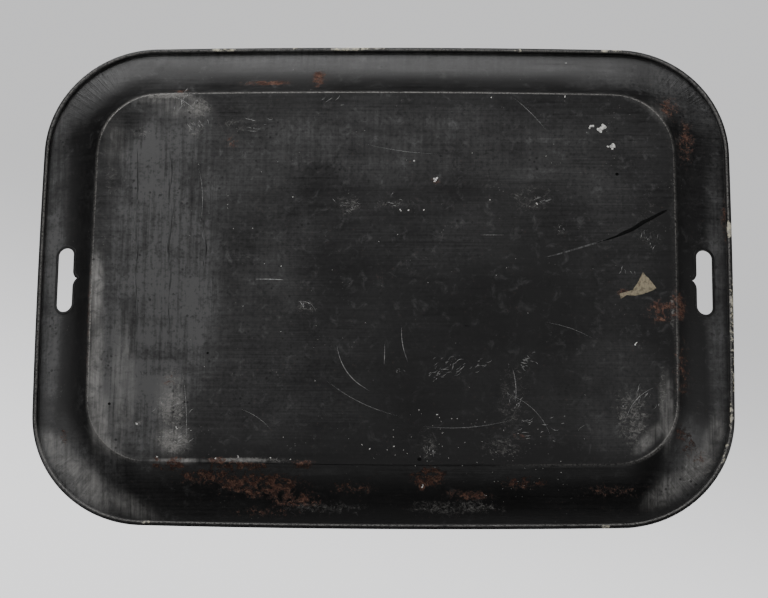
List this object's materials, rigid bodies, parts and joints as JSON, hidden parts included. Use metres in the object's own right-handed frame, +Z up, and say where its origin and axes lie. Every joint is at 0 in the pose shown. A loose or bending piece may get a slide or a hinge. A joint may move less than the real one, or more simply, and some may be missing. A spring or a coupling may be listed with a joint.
{
  "type": "zhostovo painted tray",
  "caption": "Large black-lacquered sheet-iron serving tray with bowed sides, round corners, a coved flange, a wired rim and a hand hole at each end.",
  "frame": {"origin": "middle of the tray on the surface that it stands on, under the floor", "axes": "+X along the long side, towards one hand hole; +Y across the tray; +Z up out of the dish"},
  "size_m": [0.76, 0.548, 0.032],
  "materials": {
    "black_lacquer": "worn black japan lacquer over sheet iron",
    "iron_wire": "dull drawn iron",
    "bouquet_paint": "hand-painted oil colours under clear varnish",
    "gilding": "worn bronze-powder gilding",
    "bare_metal": "rubbed bare and rusted iron",
    "old_paper": "torn and stained paper"
  },
  "bodies": {
    "root": {"pan": "black_lacquer", "rim_wire": "iron_wire"}
  },
  "joints": []
}
